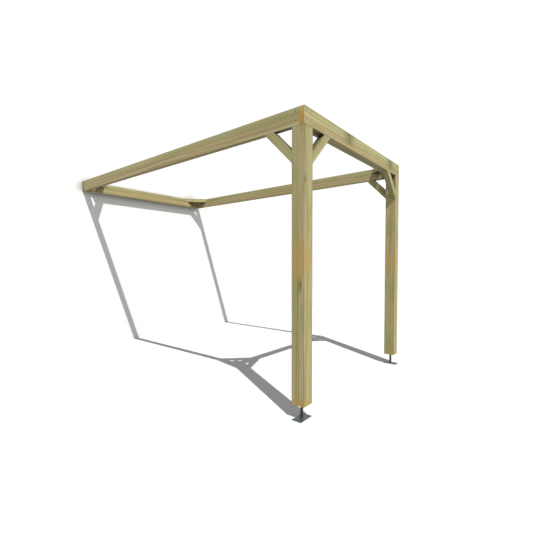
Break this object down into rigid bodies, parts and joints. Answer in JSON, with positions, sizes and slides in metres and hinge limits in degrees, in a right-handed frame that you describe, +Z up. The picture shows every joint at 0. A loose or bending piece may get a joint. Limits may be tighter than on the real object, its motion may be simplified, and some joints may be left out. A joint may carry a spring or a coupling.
{
  "type": "lean-to timber pergola",
  "caption": "Open lean-to pergola of sawn timber: front posts on steel feet, board beams with ledgers, wall plate, and braces in every corner.",
  "frame": {"origin": "centre of the wall plate's back face, where it lies against the wall", "axes": "+X along the wall from the left post to the right post, +Y into the wall so that the open front faces -Y, +Z up"},
  "size_m": [2.145, 4, 2.5],
  "materials": {
    "treated_timber": "planed softwood, pressure treated, satin",
    "galvanised_steel": "dull zinc"
  },
  "bodies": {
    "root": {"left_post": "treated_timber", "right_post": "treated_timber", "front_beam": "treated_timber", "front_ledger": "treated_timber", "left_side_beam": "treated_timber", "right_side_beam": "treated_timber", "wall_plate": "treated_timber", "wall_ledger": "treated_timber", "left_front_brace": "treated_timber", "right_front_brace": "treated_timber", "left_side_brace": "treated_timber", "right_side_brace": "treated_timber", "left_front_corner_brace": "treated_timber", "right_front_corner_brace": "treated_timber", "left_wall_corner_brace": "treated_timber", "right_wall_corner_brace": "treated_timber", "left_foot_rod": "galvanised_steel", "right_foot_rod": "galvanised_steel", "left_foot_plate": "galvanised_steel", "right_foot_plate": "galvanised_steel", "left_foot_weld": "galvanised_steel", "right_foot_weld": "galvanised_steel"}
  },
  "joints": []
}
